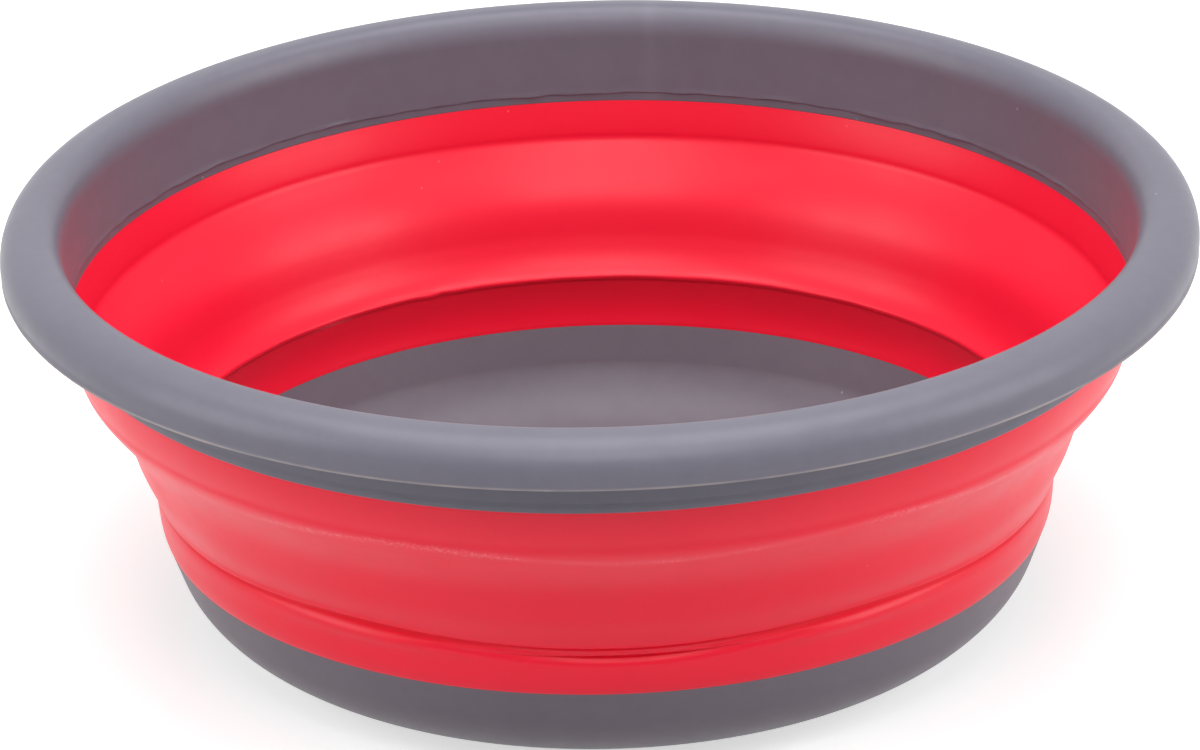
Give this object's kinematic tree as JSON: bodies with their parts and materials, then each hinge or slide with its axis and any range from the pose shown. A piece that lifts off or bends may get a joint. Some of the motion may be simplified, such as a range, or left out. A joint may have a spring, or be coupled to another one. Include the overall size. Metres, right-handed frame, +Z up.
{
  "type": "collapsible bowl",
  "caption": "Round collapsible wash bowl: a rigid rolled rim and a rigid base pan joined by a flexible wall that folds down inside the rim",
  "frame": {"origin": "middle of the foot ring, on the plane that the bowl stands on", "axes": "+Z up along the axis that the bowl is turned about, +X to the right and +Y to the back as the picture shows it"},
  "size_m": [0.37, 0.37, 0.135],
  "materials": {
    "rim_grey": "fine satin moulded polypropylene, cool grey with a slight violet cast",
    "wall_red": "satin thermoplastic elastomer, strong red",
    "base_grey": "fine satin moulded polypropylene, the same grey as the rim"
  },
  "bodies": {
    "base": {"base_pan": "base_grey", "lower_band": "wall_red"},
    "fold": {"fold_band": "wall_red"},
    "rim": {"rim_ring": "rim_grey", "upper_band": "wall_red"}
  },
  "joints": [
    {"name": "rim_slide", "type": "slide", "parent": "base", "child": "rim", "axis": [0, 0, -1], "range_m": [0, 0.0862], "deforming": ["fold_band"]},
    {"name": "fold_slide", "type": "slide", "parent": "base", "child": "fold", "axis": [0, 0, -1], "range_m": [0, 0.0431]}
  ],
  "couplings": [
    {"joint": "fold_slide", "follows": "rim_slide", "ratio": 0.5}
  ]
}
